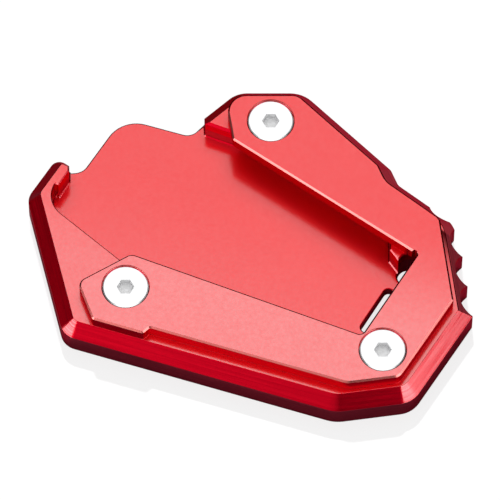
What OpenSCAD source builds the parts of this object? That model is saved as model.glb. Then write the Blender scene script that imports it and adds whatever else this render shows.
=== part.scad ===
// Kickstand foot enlarger: a machined base plate that takes the foot of the stand
// in an open pocket, a clamp plate over it and three countersunk screws.
// Seen from above, X runs to the toothed side and Y to the open side of the pocket.

/* [Base plate] */
// Height of the base plate up to its rim
rim_h = 10; // [9:0.5:14]
// Height of the upright side under the sloping bevel
side_h = 6.5; // [4:0.5:7]
// Width of the sloping bevel, seen from above
bevel_w = 3.4; // [2:0.2:4]
// Thickness of the floor under the foot
floor_t = 3; // [2:0.5:4]
// Bevel at the foot of the pocket wall
foot_bevel = 0.3; // [0.2:0.1:0.6]
// Broken edge along the top of the pocket wall
wall_break = 0.3; // [0.1:0.1:0.5]
// Bevel on the wall at the short open end of the pocket
pad_bevel = 0.7; // [0.4:0.1:1.2]
// Broken edge round the bottom
edge_break = 0.3; // [0.1:0.1:0.6]

/* [Teeth] */
// Radius of the cutter that makes the notches
notch_r = 4.9; // [4.5:0.1:5.5]
// How deep a notch reaches into the side
notch_depth = 2.7; // [1:0.1:3]
// Distance from one notch to the next
notch_pitch = 8.75; // [8:0.05:9]

/* [Clamp plate] */
// Thickness of the clamp plate
clamp_t = 4; // [3.5:0.5:6]
// Bevel along its upper edges
clamp_bevel = 0.45; // [0.2:0.05:0.8]
// Ledge of the rim that stays free along the front
front_ledge = 2.1; // [1:0.1:3]
// Ledge along the right side
right_ledge = 1.65; // [1:0.05:3]
// Ledge along the top edge
top_ledge = 1.1; // [0.6:0.1:2]
// Ledge along the other far sides
far_ledge = 0.7; // [0.6:0.1:2]
// Ledge along the toothed side
tooth_ledge = 1.1; // [0.8:0.1:2]
// Ledge along the short front edge
toe_ledge = 0.9; // [0.5:0.1:2]
// How far the plate reaches over the pocket along its long sides
grip = 3.7; // [2:0.1:5]
// How far it stays back from the pocket at the closed end
end_gap = 0.1; // [0:0.1:2]
// Length of its inner edge along the front leg
front_leg_l = 64.3; // [50:0.1:70]
// Length of its inner edge along the far leg
far_leg_l = 58.7; // [45:0.1:62]
// Length of the tab that reaches out over the front ledge
tab_l = 13.7; // [8:0.1:18]

/* [Screws] */
// Thread diameter
thread_d = 6; // [5:0.5:6]
// Head diameter
head_d = 12; // [10:0.5:12.5]
// Height of the cone of the head
head_cone_h = 3; // [2.5:0.1:3.5]
// Overall length with the head
screw_l = 10; // [9:0.5:11]
// Width across the flats of the hexagon socket
socket_af = 4; // [3:0.5:5]
// Depth of the socket
socket_depth = 2; // [1:0.1:2.4]
// Gap round a head in its countersink
head_gap = 0.3; // [0.1:0.05:0.5]
// Gap round a shank in the clamp plate
shank_gap = 0.3; // [0.1:0.05:0.5]
// Gap round the thread in the base plate
thread_gap = 0.05; // [0.02:0.01:0.15]
// Free depth of a threaded hole below the screw
tip_room = 1; // [0.5:0.1:2]

/* [Floor openings] */
// Width of the long slot in the floor
slot_w = 2.75; // [2:0.25:3.5]
// Radius of the relief hole in the inner corner of the pocket
relief_r = 3; // [2.5:0.1:3.4]
// Radius of the relief in the inner corner of the clamp plate
corner_relief_r = 0.8; // [0.6:0.1:1]

/* [Hidden] */
$fn = 64;
arc_step = 7.5; // most degrees that one straight piece of a rounded corner turns
min_r = 0.1;    // least radius of a rounded corner
over = 1;       // how far a cut runs past a face

// Corners of the base plate as [x, y, radius, share of the bevel on the edge that follows],
// anticlockwise from the low point of the front edge
base_corners = [
    [21.8, -46.7, 10, 1],
    [41.9, -43.9, 7, 1],
    [57.75, -19.15, 0.4, 1.14],
    [54.9, 1.8, 6, 1],
    [52.7, 8.5, 8, 1],
    [38.8, 19.5, 2.5, 1],
    [36.9, 24.0, 2.5, 1],
    [13.8, 47.05, 8, 1],
    [-3.6, 47.05, 7, 0.92],
    [-15.9, 36.1, 3.5, 1],
    [-33.9, 41.6, 8.5, 1],
    [-44.3, 25.3, 4, 0.55],
    [-47.5, 25.1, 0.6, 0.55],
    [-51.0, 27.5, 2.5, 0.9],
    [-58.6, 15.6, 5, 1],
    [-48.6, -24.6, 5.2, 1]
];
front_edge = 15;
toe_edge = 0;
right_edge = 1;
tooth_edge = 2;
top_edge = 7;

// Corners of the foot pocket, anticlockwise; the mouth lies outside the base plate
pocket_corners = [
    [-27.8, -9.7, 4],
    [26.7, -31.2, 5],
    [41.0, -8.2, 0.5],
    [36.3, -1.2, 0.8],
    [36.3, 4.9, 2],
    [-3.1, 32.7, 3],
    [-12.0, 36.2, 0.4],
    [-13.2, 55, 0.5],
    [-47.7, 55, 0.5],
    [-47.7, 22.1, 0.5],
    [-50.3, 17.8, 0.1],
    [-51.1, 18.3, 0.1],
    [-53.6, 13.0, 7]
];
front_wall = 0;
end_wall = 1;
far_wall = 4;
pad_corner = 6;

// Places of the three screws
screw_at = [[-32.4, -14.1], [34.1, -32.3], [5.3, 34.8]];

// Ends of the slot's centre line, and the relief hole
slot_ends = [[30.1, -20.35], [36.0, -10.65]];
relief_at = [41.3, -5.4];

// The notches: the middle one of the three on the toothed side, and the one round its far corner
notch_mid = 13.3;        // along the toothed edge, from its front corner
corner_notch = [51.9, 13.4];

clamp_top = rim_h + clamp_t;
hole_bottom = clamp_top - screw_l - tip_room;

// Plane geometry
function unit(v) = v / norm(v);
function left(v) = [-v[1], v[0]];
function cross2(a, b) = a[0] * b[1] - a[1] * b[0];
function at(list, i) = list[(i + len(list)) % len(list)];
function flat(v) = [v[0], v[1]];
function along(list, i) = unit(flat(at(list, i + 1)) - flat(at(list, i)));
function meet(p, u, q, v) = p + u * cross2(q - p, v) / cross2(u, v);
function turned(v, a) = [v[0] * cos(a) - v[1] * sin(a), v[0] * sin(a) + v[1] * cos(a)];

// A corner after both its edges moved inward by their own distances
function moved_corner(list, i, before, after) =
    let (
        u = along(list, i - 1),
        v = along(list, i),
        p = flat(at(list, i)),
        r = at(list, i)[2],
        least = min(before, after),
        place = meet(p + left(u) * before, u, p + left(v) * after, v)
    )
    [place[0], place[1], max(cross2(u, v) > 0 ? r - least : r + least, min_r)];

function share(list, i) = len(at(list, i)) > 3 ? at(list, i)[3] : 1;
function inset(list, d) = [
    for (i = [0:len(list) - 1])
        moved_corner(list, i, d * share(list, i - 1), d * share(list, i))
];

// Points of an outline whose corners are arcs
function rounded(list) = [
    for (i = [0:len(list) - 1])
        let (
            u = along(list, i - 1),
            v = along(list, i),
            turn = atan2(cross2(u, v), u * v),
            r = at(list, i)[2],
            start = flat(at(list, i)) - u * r * tan(abs(turn) / 2),
            centre = start + left(u) * r * sign(turn),
            steps = ceil(abs(turn) / arc_step)
        )
        for (k = [0:steps])
            centre + turned(start - centre, turn * k / steps)
];

// Triangles that fill an outline, found by cutting off one ear after another
function inside(a, b, c, p) =
    cross2(b - a, p - a) >= 0 && cross2(c - b, p - b) >= 0 && cross2(a - c, p - c) >= 0;
function is_ear(pts, ids, a, b, c) =
    cross2(pts[b] - pts[a], pts[c] - pts[b]) > 1e-9
    && len([
        for (q = ids)
            if (q != a && q != b && q != c && inside(pts[a], pts[b], pts[c], pts[q])) q
    ]) == 0;
function ears(pts, ids, from = 0, missed = 0, done = []) =
    let (
        n = len(ids),
        a = ids[(from + n - 1) % n],
        b = ids[from % n],
        c = ids[(from + 1) % n]
    )
    n == 3 || missed > n ? concat(done, [[a, b, c]])
    : is_ear(pts, ids, a, b, c)
        ? ears(pts, [for (q = ids) if (q != b) q], from + 1, 0, concat(done, [[a, b, c]]))
        : ears(pts, ids, from + 1, missed + 1, done);

// A solid through outlines of equal point counts, each with its own height
module stacked(outlines, heights) {
    n = len(outlines[0]);
    levels = len(heights);
    last = (levels - 1) * n;
    ring = [for (i = [0:n - 1]) i];
    points = [for (l = [0:levels - 1]) for (p = outlines[l]) [p[0], p[1], heights[l]]];
    bottom = ears(outlines[0], ring);
    top = [for (t = ears(outlines[levels - 1], ring)) [last + t[2], last + t[1], last + t[0]]];
    sides = [
        for (l = [0:levels - 2])
            for (i = [0:n - 1])
                let (a = l * n + i, b = l * n + (i + 1) % n)
                each [[a, a + n, b], [b, a + n, b + n]]
    ];
    polyhedron(points = points, faces = concat(bottom, top, sides));
}

rim_corners = inset(base_corners, bevel_w);

// The middle of the outline stands over the origin
side_ring = rounded(base_corners);
function middle(list, k) = (min([for (p = list) p[k]]) + max([for (p = list) p[k]])) / 2;
centre = [middle(side_ring, 0), middle(side_ring, 1)];
module centred() translate([-centre[0], -centre[1], 0]) children();

// Base plate
module base_blank() {
    stacked(
        [
            rounded(inset(base_corners, edge_break)), side_ring, side_ring,
            rounded(rim_corners)
        ],
        [0, edge_break, side_h, rim_h]
    );
}

module pocket() {
    wall = rounded(pocket_corners);
    lip = rounded(inset(pocket_corners, -wall_break));
    stacked(
        [rounded(inset(pocket_corners, foot_bevel)), wall, wall, lip, lip],
        [floor_t, floor_t + foot_bevel, rim_h - wall_break, rim_h, rim_h + over]
    );
}

// Sloping cut along the wall beside the pocket's mouth
module pad_bevel_cut() {
    start = flat(pocket_corners[pad_corner]);
    end = flat(pocket_corners[pad_corner - 1]);
    run = norm(end - start);
    slope = atan2(end[1] - start[1], end[0] - start[0]);
    translate([start[0], start[1], rim_h])
        rotate([0, 0, slope])
            rotate([90, 0, 90])
                translate([0, 0, -3 * over])
                    linear_extrude(height = run + 3 * over)
                        polygon([
                            [-over, -pad_bevel - over], [pad_bevel + over, over], [-over, over]
                        ]);
}

module notches() {
    u = along(base_corners, tooth_edge);
    start = flat(base_corners[tooth_edge]) - left(u) * (notch_r - notch_depth);
    places = concat(
        [for (k = [-1:1]) start + u * (notch_mid + k * notch_pitch)],
        [corner_notch]
    );
    for (p = places)
        translate([p[0], p[1], -over])
            cylinder(r = notch_r, h = rim_h + 2 * over);
}

module floor_slot() {
    run = slot_ends[1] - slot_ends[0];
    translate([slot_ends[0][0], slot_ends[0][1], -over])
        rotate([0, 0, atan2(run[1], run[0])]) {
            translate([0, -slot_w / 2, 0])
                cube([norm(run), slot_w, floor_t + 2 * over]);
            for (x = [0, norm(run)])
                translate([x, 0, 0])
                    cylinder(d = slot_w, h = floor_t + 2 * over);
        }
}

// Clears the inner corner of the pocket, with the same broken edge as its wall
module relief_hole() {
    translate([relief_at[0], relief_at[1], -over])
        cylinder(r = relief_r, h = rim_h + 2 * over);
    translate([relief_at[0], relief_at[1], rim_h - wall_break])
        cylinder(r1 = relief_r, r2 = relief_r + wall_break + over, h = wall_break + over);
}

module thread_holes() {
    hole_d = thread_d + 2 * thread_gap;
    for (p = screw_at)
        translate([p[0], p[1], hole_bottom])
            cylinder(d = hole_d, h = rim_h - hole_bottom + over);
}

module base_plate() {
    color("crimson") centred()
        difference() {
            base_blank();
            pocket();
            pad_bevel_cut();
            notches();
            floor_slot();
            relief_hole();
            thread_holes();
        }
}

// Clamp plate: its outer edges follow the rim, its inner edges leave the pocket open
ledges = [
    for (i = [0:len(base_corners) - 1])
        bevel_w * share(base_corners, i) + (
            i == front_edge ? front_ledge
            : i == right_edge ? right_ledge
            : i == toe_edge ? toe_ledge
            : i == tooth_edge ? tooth_ledge
            : i == top_edge ? top_ledge
            : far_ledge
        )
];
function rim_follower(i) = moved_corner(base_corners, i, at(ledges, i - 1), at(ledges, i));

// A point on the front edge of the base plate, moved in from it
function front_point(distance, inward) =
    flat(base_corners[front_edge]) + along(base_corners, front_edge) * distance
    + left(along(base_corners, front_edge)) * inward;

// Where two walls of the pocket meet once both have moved in
function wall_meeting(i, di, j, dj) =
    let (
        u = along(pocket_corners, i),
        v = along(pocket_corners, j)
    )
    meet(flat(pocket_corners[i]) + left(u) * di, u, flat(pocket_corners[j]) + left(v) * dj, v);

tab_start = 7;              // from the base plate's lower left corner
tab_slope = 1.2;            // length of the step beside the tab
end_step = [-13.9, -8.2];   // from the end of the front inner edge to the plate's left corner
top_step = -2.2;            // from the end of the far inner edge to the top corner, along X
tab_left = front_point(tab_start, bevel_w);
tab_right = front_point(tab_start + tab_l, bevel_w);
tab_back = front_point(tab_start + tab_l + tab_slope, bevel_w + front_ledge);
near_bend = wall_meeting(front_wall, grip, end_wall, -end_gap);
far_bend = wall_meeting(end_wall, -end_gap, far_wall, grip);
front_end = near_bend - along(pocket_corners, front_wall) * front_leg_l;
far_end = far_bend + along(pocket_corners, far_wall) * far_leg_l;
end_corner = front_end + end_step;

clamp_corners = concat(
    [for (i = [0:top_edge]) rim_follower(i)],
    [
        [far_end[0] + top_step, rim_follower(top_edge)[1], 5],
        [far_end[0], far_end[1], 1.2],
        [far_bend[0], far_bend[1], 0.6],
        [near_bend[0], near_bend[1], 1.5],
        [front_end[0], front_end[1], 2.5],
        [end_corner[0], end_corner[1], 2.5],
        [tab_left[0], tab_left[1], 1],
        [tab_right[0], tab_right[1], 1],
        [tab_back[0], tab_back[1], 1]
    ]
);

// Mouth of a countersink, wider than the head by its gap
sink_d = head_d + 2 * head_gap;
shank_d = thread_d + 2 * shank_gap;
cone_slope = (head_d - thread_d) / 2 / head_cone_h;

module countersinks() {
    sink_h = (sink_d - shank_d) / 2 / cone_slope;
    for (p = screw_at)
        translate([p[0], p[1], rim_h]) {
            translate([0, 0, -over])
                cylinder(d = shank_d, h = clamp_t + 2 * over);
            translate([0, 0, clamp_t - head_gap - sink_h])
                cylinder(d1 = shank_d, d2 = sink_d, h = sink_h);
            translate([0, 0, clamp_t - head_gap])
                cylinder(d = sink_d, h = head_gap + over);
        }
}

module clamp_plate() {
    full = rounded(clamp_corners);
    relief = far_bend + [-corner_relief_r, corner_relief_r / 2];
    color("red") centred()
        difference() {
            stacked(
                [
                    rounded(inset(clamp_corners, edge_break)), full, full,
                    rounded(inset(clamp_corners, clamp_bevel))
                ],
                [rim_h, rim_h + edge_break, clamp_top - clamp_bevel, clamp_top]
            );
            countersinks();
            translate([relief[0], relief[1], rim_h - over])
                cylinder(r = corner_relief_r, h = clamp_t + 2 * over);
        }
}

// Screws: flat head with a hexagon socket, seated on the cone of its countersink
head_drop = head_gap;
head_edge = 0.3;

module clamp_screw() {
    head_top = clamp_t - head_drop + head_edge / 2;
    cone_top = clamp_t - head_drop - head_gap / cone_slope;
    cone_bottom = cone_top - head_cone_h;
    tip = clamp_t - screw_l;
    difference() {
        rotate_extrude()
            polygon([
                [0, tip],
                [thread_d / 2 - head_edge * 2, tip],
                [thread_d / 2, tip + head_edge * 2],
                [thread_d / 2, cone_bottom],
                [head_d / 2, cone_top],
                [head_d / 2, head_top - head_edge / 2],
                [head_d / 2 - head_edge, head_top],
                [0, head_top]
            ]);
        translate([0, 0, head_top - socket_depth])
            cylinder(d = socket_af / cos(30), h = socket_depth + over, $fn = 6);
    }
}

module clamp_screws() {
    color("gainsboro") centred()
        for (p = screw_at)
            translate([p[0], p[1], rim_h])
                clamp_screw();
}

base_plate();
clamp_plate();
clamp_screws();
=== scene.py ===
import math

import bmesh
import bpy
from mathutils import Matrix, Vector


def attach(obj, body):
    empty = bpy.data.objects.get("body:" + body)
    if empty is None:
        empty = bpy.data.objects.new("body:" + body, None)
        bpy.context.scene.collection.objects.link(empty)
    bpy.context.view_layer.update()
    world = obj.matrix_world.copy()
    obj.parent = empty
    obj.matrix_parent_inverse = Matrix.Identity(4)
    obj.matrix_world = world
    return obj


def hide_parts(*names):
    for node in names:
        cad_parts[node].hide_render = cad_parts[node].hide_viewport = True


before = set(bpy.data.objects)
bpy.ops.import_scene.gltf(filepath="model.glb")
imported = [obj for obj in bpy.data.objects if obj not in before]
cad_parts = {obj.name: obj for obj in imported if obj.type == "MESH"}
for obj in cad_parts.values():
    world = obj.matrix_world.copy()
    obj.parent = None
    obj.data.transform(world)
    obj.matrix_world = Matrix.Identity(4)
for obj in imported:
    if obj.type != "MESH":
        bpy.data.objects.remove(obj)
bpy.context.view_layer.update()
print("frame loaded")

mm = 0.001
scene = bpy.context.scene


# A shader value that takes part in sums like a number
class Flow:
    def __init__(self, tree, socket=None):
        self.tree = tree
        self.socket = socket

    def node(self, kind, output=0, inputs=None, **settings):
        made = self.tree.nodes.new("ShaderNode" + kind)
        for key, value in settings.items():
            setattr(made, key, value)
        for place, value in (inputs or {}).items():
            if isinstance(value, Flow):
                self.tree.links.new(value.socket, made.inputs[place])
            else:
                made.inputs[place].default_value = value
        return Flow(self.tree, made.outputs[output])

    def math(self, operation, *values):
        return self.node("Math", inputs=dict(enumerate(values)), operation=operation)

    def __add__(self, other):
        return self.math("ADD", self, other)

    def __radd__(self, other):
        return self.math("ADD", other, self)

    def __sub__(self, other):
        return self.math("SUBTRACT", self, other)

    def __rsub__(self, other):
        return self.math("SUBTRACT", other, self)

    def __mul__(self, other):
        return self.math("MULTIPLY", self, other)

    def __rmul__(self, other):
        return self.math("MULTIPLY", other, self)

    def __truediv__(self, other):
        return self.math("DIVIDE", self, other)

    def __rtruediv__(self, other):
        return self.math("DIVIDE", other, self)

    # 0 below low, 1 above high, smooth between
    def ramp(self, low, high):
        inputs = {0: self, 1: low, 2: high, 3: 0.0, 4: 1.0}
        return self.node("MapRange", inputs=inputs, interpolation_type="SMOOTHSTEP")

    # The first colour where this value is 0, the second where it is 1
    def blend(self, first, second):
        inputs = {0: self, 6: first, 7: second}
        return self.node("Mix", output=2, inputs=inputs, data_type="RGBA")

    # Noise of a size in metres, stretched by a factor along each axis
    def noise(self, size, detail=2.0, stretch=(1, 1, 1)):
        scaled = self.node("Mapping", inputs={"Vector": self, "Scale": stretch})
        inputs = {"Vector": scaled, "Scale": 1 / size, "Detail": detail, "Roughness": 0.5}
        return self.node("TexNoise", inputs=inputs)

    # A surface raised by a height in metres
    def bump(self, height):
        return self.node("Bump", inputs={"Strength": 1.0, "Distance": 1.0, "Height": height})


# A new material with its constants set, a start for its graph, and its shader
def newMaterial(name, constants):
    material = bpy.data.materials.new(name)
    material.use_nodes = True
    tree = material.node_tree
    shader = tree.nodes["Principled BSDF"]
    for key, value in constants.items():
        shader.inputs[key].default_value = value
    return material, Flow(tree), shader


def feed(shader, place, flow):
    flow.tree.links.new(flow.socket, shader.inputs[place])


# Anodised aluminium: blasted flats, and bevels with the lines that a cutter leaves at one height.
# Rear-facing slants: a pinkish painted sheen on the base plate's bevel, painted shade elsewhere.
# Upright faces carry painted shade below the outer side's height and lighter paint above, on the
# pocket's walls.
# The clear layer's weight is painted sheen: full on the bevels that face a front corner and thin
# on the others. On the flats it grows towards the front, the more so the higher they lie.
def anodised(name, settings):
    material, flow, shader = newMaterial(name, settings["constants"])
    place = flow.node("TexCoord", output="Object")
    facing = flow.node("TexCoord", output="Normal")
    across, away, up = (flow.node("SeparateXYZ", output=k, inputs={0: facing}) for k in range(3))
    wide, deep, high = (flow.node("SeparateXYZ", output=k, inputs={0: place}) for k in range(3))

    flat = up.ramp(*settings["flatFacing"])
    side = 1 - up.math("ABSOLUTE", up).ramp(*settings["slantFacing"])
    # Painted sheen: the masks below set the clear layer's weight by facing and by place
    rightward = across.ramp(*settings["rightFacing"])
    rightward = rightward - across.ramp(*settings["fullRightFacing"]) * settings["rightSheenLoss"]
    leftward = (0 - across).ramp(*settings["leftFacing"])
    corner = (rightward + leftward) * (0 - away).ramp(*settings["cornerFacing"])
    front = (0 - deep - wide * settings["frontSkew"]).ramp(*settings["frontReach"])
    layer = settings["flatCoat"] + settings["frontSheenCoat"] * front * high / settings["fullHeight"]

    grain = place.noise(settings["grainSize"], detail=3.0)
    cloud = place.noise(settings["cloudSize"])
    lines = place.noise(settings["lineSize"], stretch=settings["lineStretch"])

    # Painted light on rear-facing slants: sheen on the base plate's bevel, shade towards the left
    # and on every other rear edge
    rear = high.ramp(*settings["bevelFoot"]) * (1 - high.ramp(*settings["bevelTop"]))
    rear = rear * (1 - (0 - across).ramp(*settings["leftShadeFacing"]) * settings["leftRearShadeLoss"])
    tone = rear.blend(settings["rearEdgeShadeColor"], settings["rearBevelSheenColor"])
    # Slants that face the front take the dye's colour on the base plate and a pinkish-white
    # painted highlight on the clamp plate
    tone = (0 - away).ramp(*settings["frontFacing"]).blend(tone, settings["bevelDyeAndHighlight"])
    tone = flat.blend(tone, settings["flatColor"])
    # Painted light on upright faces: the outer sides darker, as shade, the pocket's walls above
    # lighter
    wall = high.ramp(*settings["sideTop"]).blend(settings["shadedSideColor"], settings["litWallColor"])
    tone = side.blend(tone, wall)
    # Faces that look down take the dye's colour on the base plate and a brighter, bluer painted
    # light on the clamp plate
    tone = (0 - up).ramp(*settings["underFacing"]).blend(tone, settings["underDyeAndLight"])

    # Painted shade: upward slants below the countersinks' top are darkened by sinkShade
    sunkShade = (1 - flat) * up.ramp(*settings["slantFacing"]) * (1 - high.ramp(*settings["sinkRange"]))
    shade = (grain - 0.5) * settings["grainTone"] + (cloud - 0.5) * settings["cloudTone"] + 1.0
    streak = (1 - flat) * (lines - 0.5) * settings["lineTone"]
    shade = (shade + streak) * (1 - sunkShade * settings["sinkShade"])
    tone = flow.node("VectorMath", inputs={0: tone, 3: shade}, operation="SCALE")

    smoother = settings["flatRoughness"] - settings["bevelRoughness"]
    rough = settings["bevelRoughness"] + flat * smoother
    rough = rough + (grain - 0.5) * settings["grainRoughness"]
    rough = rough + (1 - flat) * (lines - 0.5) * settings["lineRoughness"]
    height = flat * grain * settings["grainHeight"] + (1 - flat) * lines * settings["lineHeight"]

    # Painted sheen on the corner-facing bevels and towards the front of the flats
    layer = layer * (1 + (grain - 0.5) * settings["grainCoat"])
    slantSheenCoat = corner * (1 - side) * settings["cornerSheenCoat"] + settings["thinCoat"]
    coat = flat * layer + (1 - flat) * slantSheenCoat
    coat = coat * (1 + (1 - flat) * (lines - 0.5) * settings["coatLines"])

    feed(shader, "Base Color", tone)
    feed(shader, "Roughness", rough)
    feed(shader, "Coat Weight", coat)
    feed(shader, "Normal", flow.bump(height))
    return material


# Bright steel with a fine grain, matter and less metallic inside the sockets
def steel(name, settings):
    material, flow, shader = newMaterial(name, settings["constants"])
    place = flow.node("TexCoord", output="Object")
    fine = place.noise(settings["fineSize"], detail=3.0)
    broad = place.noise(settings["broadSize"])
    high = flow.node("SeparateXYZ", output=2, inputs={0: place})
    socket = 1 - high.ramp(*settings["socketRange"])
    rough = settings["roughness"] + socket * settings["socketRoughness"]
    rough = rough + (fine - 0.5) * settings["fineRoughness"]
    rough = rough + (broad - 0.5) * settings["broadRoughness"]

    feed(shader, "Metallic", 1 - socket * settings["socketMatt"])
    feed(shader, "Base Color", fine.blend(settings["dark"], settings["light"]))
    feed(shader, "Roughness", rough)
    feed(shader, "Normal", flow.bump(fine * settings["fineHeight"]))
    return material


# The points near a place, drawn together into one point at each level
def drawTogether(shape, place, reach):
    levels = {}
    for vert in shape.verts:
        if (vert.co.xy - Vector(place)).length < reach:
            levels.setdefault(round(vert.co.z, 5), []).append(vert)
    for group in levels.values():
        middle = sum((vert.co for vert in group), Vector()) / len(group)
        bmesh.ops.pointmerge(shape, verts=group, merge_co=middle)


softening = {
    "samePoint": 0.012 * mm,
    "sameLevel": 0.01 * mm,
    "leastFace": 2 * mm,  # height of the face beside an edge that is rounded
    "flatAngle": 0.5,
    "sharpAngle": 20,
    "segments": 2,
}


# The radius for an edge: its level's, where a face of some height meets it at a sharp angle
def edgeRadius(edge, sharp, rounded):
    spans = [max(v.co.z for v in f.verts) - min(v.co.z for v in f.verts) for f in edge.link_faces]
    radius = 0.0
    for level, levelRadius in rounded.items():
        there = all(abs(v.co.z - level) < softening["sameLevel"] for v in edge.verts)
        if sharp and there and max(spans) > softening["leastFace"]:
            radius = levelRadius
    return radius


# A copy of a CAD node, with the edges at some levels rounded, which stands for the node
def softened(nodeName, settings, material):
    shape = bmesh.new()
    shape.from_mesh(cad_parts[nodeName].data)
    bmesh.ops.remove_doubles(shape, verts=shape.verts, dist=softening["samePoint"])
    if settings["foldPlace"]:
        drawTogether(shape, settings["foldPlace"], settings["foldReach"])
    flatEnough = math.radians(softening["flatAngle"])
    bmesh.ops.dissolve_limit(
        shape, angle_limit=flatEnough, verts=shape.verts, edges=shape.edges
    )
    weights = shape.edges.layers.float.new("bevel_weight_edge")
    sharpEnough = math.radians(softening["sharpAngle"])
    for edge in shape.edges:
        sharp = len(edge.link_faces) == 2 and edge.calc_face_angle(0) > sharpEnough
        radius = edgeRadius(edge, sharp, settings["rounded"])
        edge[weights] = radius / settings["mostRounded"]
        edge.smooth = radius > 0 or not sharp
    mesh = bpy.data.meshes.new(nodeName + "_shape")
    shape.to_mesh(mesh)
    shape.free()
    mesh.polygons.foreach_set("use_smooth", [True] * len(mesh.polygons))
    piece = bpy.data.objects.new(nodeName + "_finish", mesh)
    scene.collection.objects.link(piece)
    piece.data.materials.append(material)
    rounding = piece.modifiers.new("rounding", "BEVEL")
    rounding.width = settings["mostRounded"]
    rounding.segments = softening["segments"]
    rounding.limit_method = "WEIGHT"
    rounding.use_clamp_overlap = False
    normals = piece.modifiers.new("normals", "WEIGHTED_NORMAL")
    normals.keep_sharp = True
    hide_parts(nodeName)
    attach(piece, "root")


# A name that ends in Facing holds the parts of a face's normal between which something sets in
basePlate = {
    "constants": {
        "Metallic": 1.0,
        "Specular Tint": (0.9, 0.2, 0.25, 1),
        "Coat Roughness": 0.16,
        "Coat IOR": 2.9,
    },
    "flatFacing": (0.93, 0.995),
    "slantFacing": (0.1, 0.45),
    "frontFacing": (-0.1, 0.1),
    "underFacing": (0.5, 0.9),
    "rightFacing": (0.14, 0.24),
    "fullRightFacing": (0.46, 0.58),
    "leftFacing": (0.26, 0.36),
    "cornerFacing": (0.20, 0.32),
    "flatCoat": 0.39,
    "frontSheenCoat": 0.51,
    "frontSkew": 0.3,
    "frontReach": (-0.018, 0.020),
    "fullHeight": 14 * mm,
    "cornerSheenCoat": 0.46,
    "rightSheenLoss": 0.4,
    "thinCoat": 0.007,
    "coatLines": 3.2,
    "flatColor": (0.82, 0.004, 0.009, 1),
    "bevelDyeAndHighlight": (0.72, 0.0005, 0.016, 1),
    "rearBevelSheenColor": (0.95, 0.11, 0.15, 1),
    "rearEdgeShadeColor": (0.12, 0.001, 0.004, 1),
    "bevelFoot": (3.2 * mm, 4 * mm),
    "bevelTop": (9.80 * mm, 9.84 * mm),
    "leftShadeFacing": (-0.2, 0.3),
    "leftRearShadeLoss": 0.6,
    "shadedSideColor": (0.53, 0.075, 0.115, 1),
    "litWallColor": (0.72, 0.006, 0.06, 1),
    "sideTop": (6.4 * mm, 6.8 * mm),
    "underDyeAndLight": (0.80, 0.010, 0.03, 1),
    "sinkRange": (-0.2 * mm, -0.1 * mm),  # under the part, so nothing is sunk here
    "sinkShade": 0.85,
    "flatRoughness": 0.40,
    "bevelRoughness": 0.32,
    "grainRoughness": 0.06,
    "lineRoughness": 0.12,
    "grainSize": 0.8 * mm,
    "cloudSize": 12 * mm,
    "lineSize": 0.3 * mm,
    "lineStretch": (0.012, 0.012, 1),
    "grainTone": 0.10,
    "grainCoat": 0.55,
    "cloudTone": 0.05,
    "lineTone": 0.60,
    "grainHeight": 0.004 * mm,
    "lineHeight": 0.006 * mm,
    "rounded": {3 * mm: 0.5 * mm, 6.5 * mm: 0.16 * mm, 10 * mm: 0.12 * mm},
    "mostRounded": 0.5 * mm,
    "foldPlace": None,
}
softened("base_plate", basePlate, anodised("red_anodised_base", basePlate))
print("base plate done")

# The CAD plate's outline crosses itself for 0.7 mm at the far end of its toothed side. Its
# edges stay sharp, because a rounding breaks up its upper face. Its sunk faces are the
# countersinks, which are darkened as painted shade.
clampPlate = dict(
    basePlate,
    constants=dict(basePlate["constants"], **{"Specular Tint": (0.5, 0.005, 0.03, 1)}),
    foldPlace=(49.5 * mm, 4.95 * mm),
    foldReach=0.5 * mm,
    rounded={},
    # The clamp plate's front chamfers are painted pinkish-white, a painted highlight
    bevelDyeAndHighlight=(0.95, 0.22, 0.20, 1),
    # The clamp plate's underside is painted brighter and bluer, painted light that its reflection
    # in the pocket floor shows
    underDyeAndLight=(0.98, 0.008, 0.22, 1),
    cornerSheenCoat=0.165,
    sinkRange=(13.3 * mm, 13.6 * mm),
)
softened("clamp_plate", clampPlate, anodised("red_anodised_clamp", clampPlate))
print("clamp plate done")

screws = {
    "constants": {},
    "dark": (0.80, 0.80, 0.81, 1),
    "light": (0.92, 0.92, 0.92, 1),
    "roughness": 0.30,
    "fineSize": 0.6 * mm,
    "fineRoughness": 0.08,
    "fineHeight": 0.002 * mm,
    "broadSize": 4 * mm,
    "broadRoughness": 0.06,
    "socketRange": (13.2 * mm, 13.6 * mm),
    "socketRoughness": 0.2,
    "socketMatt": 0.7,
    "rounded": {},
    "mostRounded": 0.1 * mm,
    "foldPlace": None,
}
softened("clamp_screws", screws, steel("screw_steel", screws))
print("screws done")

# Camera, at the photograph's angle through a very long lens
lens = {
    "elevation": 62.7,
    "distance": 1.7,
    "target": Vector((0.104, -0.153, 7.0)) * mm,
    "pixelsPerMetre": 3830,
    "imageWidth": 500,
    "sensorWidth": 36,
    "nearest": 0.05,
    "furthest": 20,
}
lift = math.radians(lens["elevation"])
back = Vector((0, -math.cos(lift), math.sin(lift)))
camera = bpy.data.objects.new("camera", bpy.data.cameras.new("camera"))
scene.collection.objects.link(camera)
camera.location = lens["target"] + back * lens["distance"]
camera.rotation_euler = back.to_track_quat("Z", "Y").to_euler()
camera.data.sensor_width = lens["sensorWidth"]
camera.data.lens = (
    lens["pixelsPerMetre"] * lens["distance"] * lens["sensorWidth"] / lens["imageWidth"]
)
camera.data.clip_start = lens["nearest"]
camera.data.clip_end = lens["furthest"]
scene.camera = camera
print("camera done")


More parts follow.
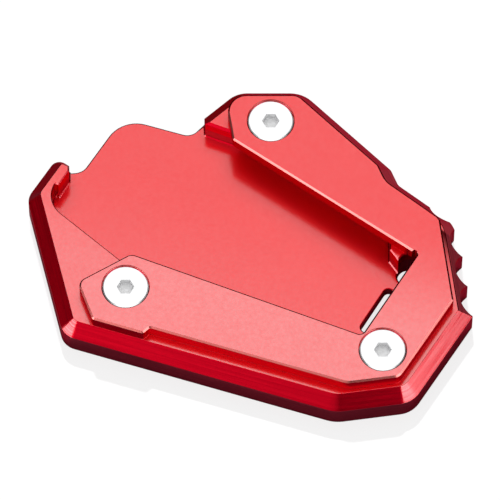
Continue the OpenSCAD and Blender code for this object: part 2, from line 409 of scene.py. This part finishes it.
# A soft studio light of a given brightness, at a distance along a direction from the part
def softbox(name, settings):
    area = bpy.data.lights.new(name, "AREA")
    area.shape = "RECTANGLE"
    area.size, area.size_y = settings["size"]
    area.energy = settings["brightness"] * math.pi * area.size * area.size_y
    lamp = bpy.data.objects.new(name, area)
    scene.collection.objects.link(lamp)
    way = Vector(settings["toward"]).normalized()
    lamp.location = way * settings["distance"]
    lamp.rotation_euler = way.to_track_quat("Z", "Y").to_euler()
    lamp.visible_camera = False


softboxes = {
    "back_light": {
        "toward": (0, 0.46, 0.89),
        "distance": 0.7,
        "size": (1.2, 0.6),
        "brightness": 1.25,
    },
    "top_light": {
        "toward": (0, -0.35, 0.94),
        "distance": 0.8,
        "size": (0.9, 0.5),
        "brightness": 1.5,
    },
    "right_light": {
        "toward": (0.76, -0.55, 0.33),
        "distance": 0.7,
        "size": (0.7, 0.3),
        "brightness": 2.6,
    },
    "left_light": {
        "toward": (-0.86, -0.42, 0.29),
        "distance": 0.7,
        "size": (0.6, 0.3),
        "brightness": 2.9,
    },
    "front_light": {
        "toward": (-0.33, -0.83, 0.42),
        "distance": 0.6,
        "size": (0.45, 0.35),
        "brightness": 0.64,
    },
}
for name, settings in softboxes.items():
    softbox(name, settings)

# A lamp for the floor alone, which gives the part its light, crisp shadow there
shadow = {"toward": (-0.05, 0.61, 0.79), "strength": 4.4, "spread": 1.5}
sun = bpy.data.objects.new("shadow_lamp", bpy.data.lights.new("shadow_lamp", "SUN"))
sun.data.energy = shadow["strength"]
sun.data.angle = math.radians(shadow["spread"])
sun.rotation_euler = Vector(shadow["toward"]).to_track_quat("Z", "Y").to_euler()
scene.collection.objects.link(sun)
floorOnly = bpy.data.collections.new("floor_only")
sun.light_linking.receiver_collection = floorOnly

# World: white where the camera looks, and for the light a dome that is dim at the horizon
sky = {"horizon": -0.1, "zenith": 1.0, "dimmest": 0.30, "rise": 0.5, "seen": 1.1}
world = bpy.data.worlds.new("studio")
scene.world = world
world.use_nodes = True
tree = world.node_tree
flow = Flow(tree)
background = tree.nodes["Background"]
seen = flow.node("LightPath", output="Is Camera Ray")
direction = flow.node("TexCoord", output="Generated")
height = flow.node("SeparateXYZ", output=2, inputs={0: direction})
dome = height.ramp(sky["horizon"], sky["zenith"]) * sky["rise"] + sky["dimmest"]
feed(background, "Strength", dome + seen * (sky["seen"] - dome))
print("lights done")

# Floor: plain and pale to the camera, darker where the metal mirrors it
paper = {
    "half": 3.0,
    "shaded": (0.13, 0.13, 0.13, 1),
    "lit": (0.79, 0.79, 0.79, 1),
    "mirrored": (0.17, 0.17, 0.17, 1),
}
half = paper["half"]
floorMesh = bpy.data.meshes.new("floor")
floorMesh.from_pydata(
    [(-half, -half, 0), (half, -half, 0), (half, half, 0), (-half, half, 0)], [], [(0, 1, 2, 3)]
)
floor = bpy.data.objects.new("floor", floorMesh)
scene.collection.objects.link(floor)
floorPaper = bpy.data.materials.new("floor_paper")
floorPaper.use_nodes = True
tree = floorPaper.node_tree
tree.nodes.remove(tree.nodes["Principled BSDF"])
flow = Flow(tree)
seen = flow.node("LightPath", output="Is Camera Ray")
shaded = flow.node("BsdfDiffuse", inputs={"Color": paper["shaded"]})
lit = flow.node("Emission", inputs={"Color": paper["lit"], "Strength": 1.0})
pale = flow.node("AddShader", inputs={0: shaded, 1: lit})
mirrored = flow.node("BsdfDiffuse", inputs={"Color": paper["mirrored"]})
surface = flow.node("MixShader", inputs={0: seen, 1: mirrored, 2: pale})
tree.links.new(surface.socket, tree.nodes["Material Output"].inputs["Surface"])
floorMesh.materials.append(floorPaper)
floorOnly.objects.link(floor)
print("floor done")

scene.view_settings.view_transform = "Standard"
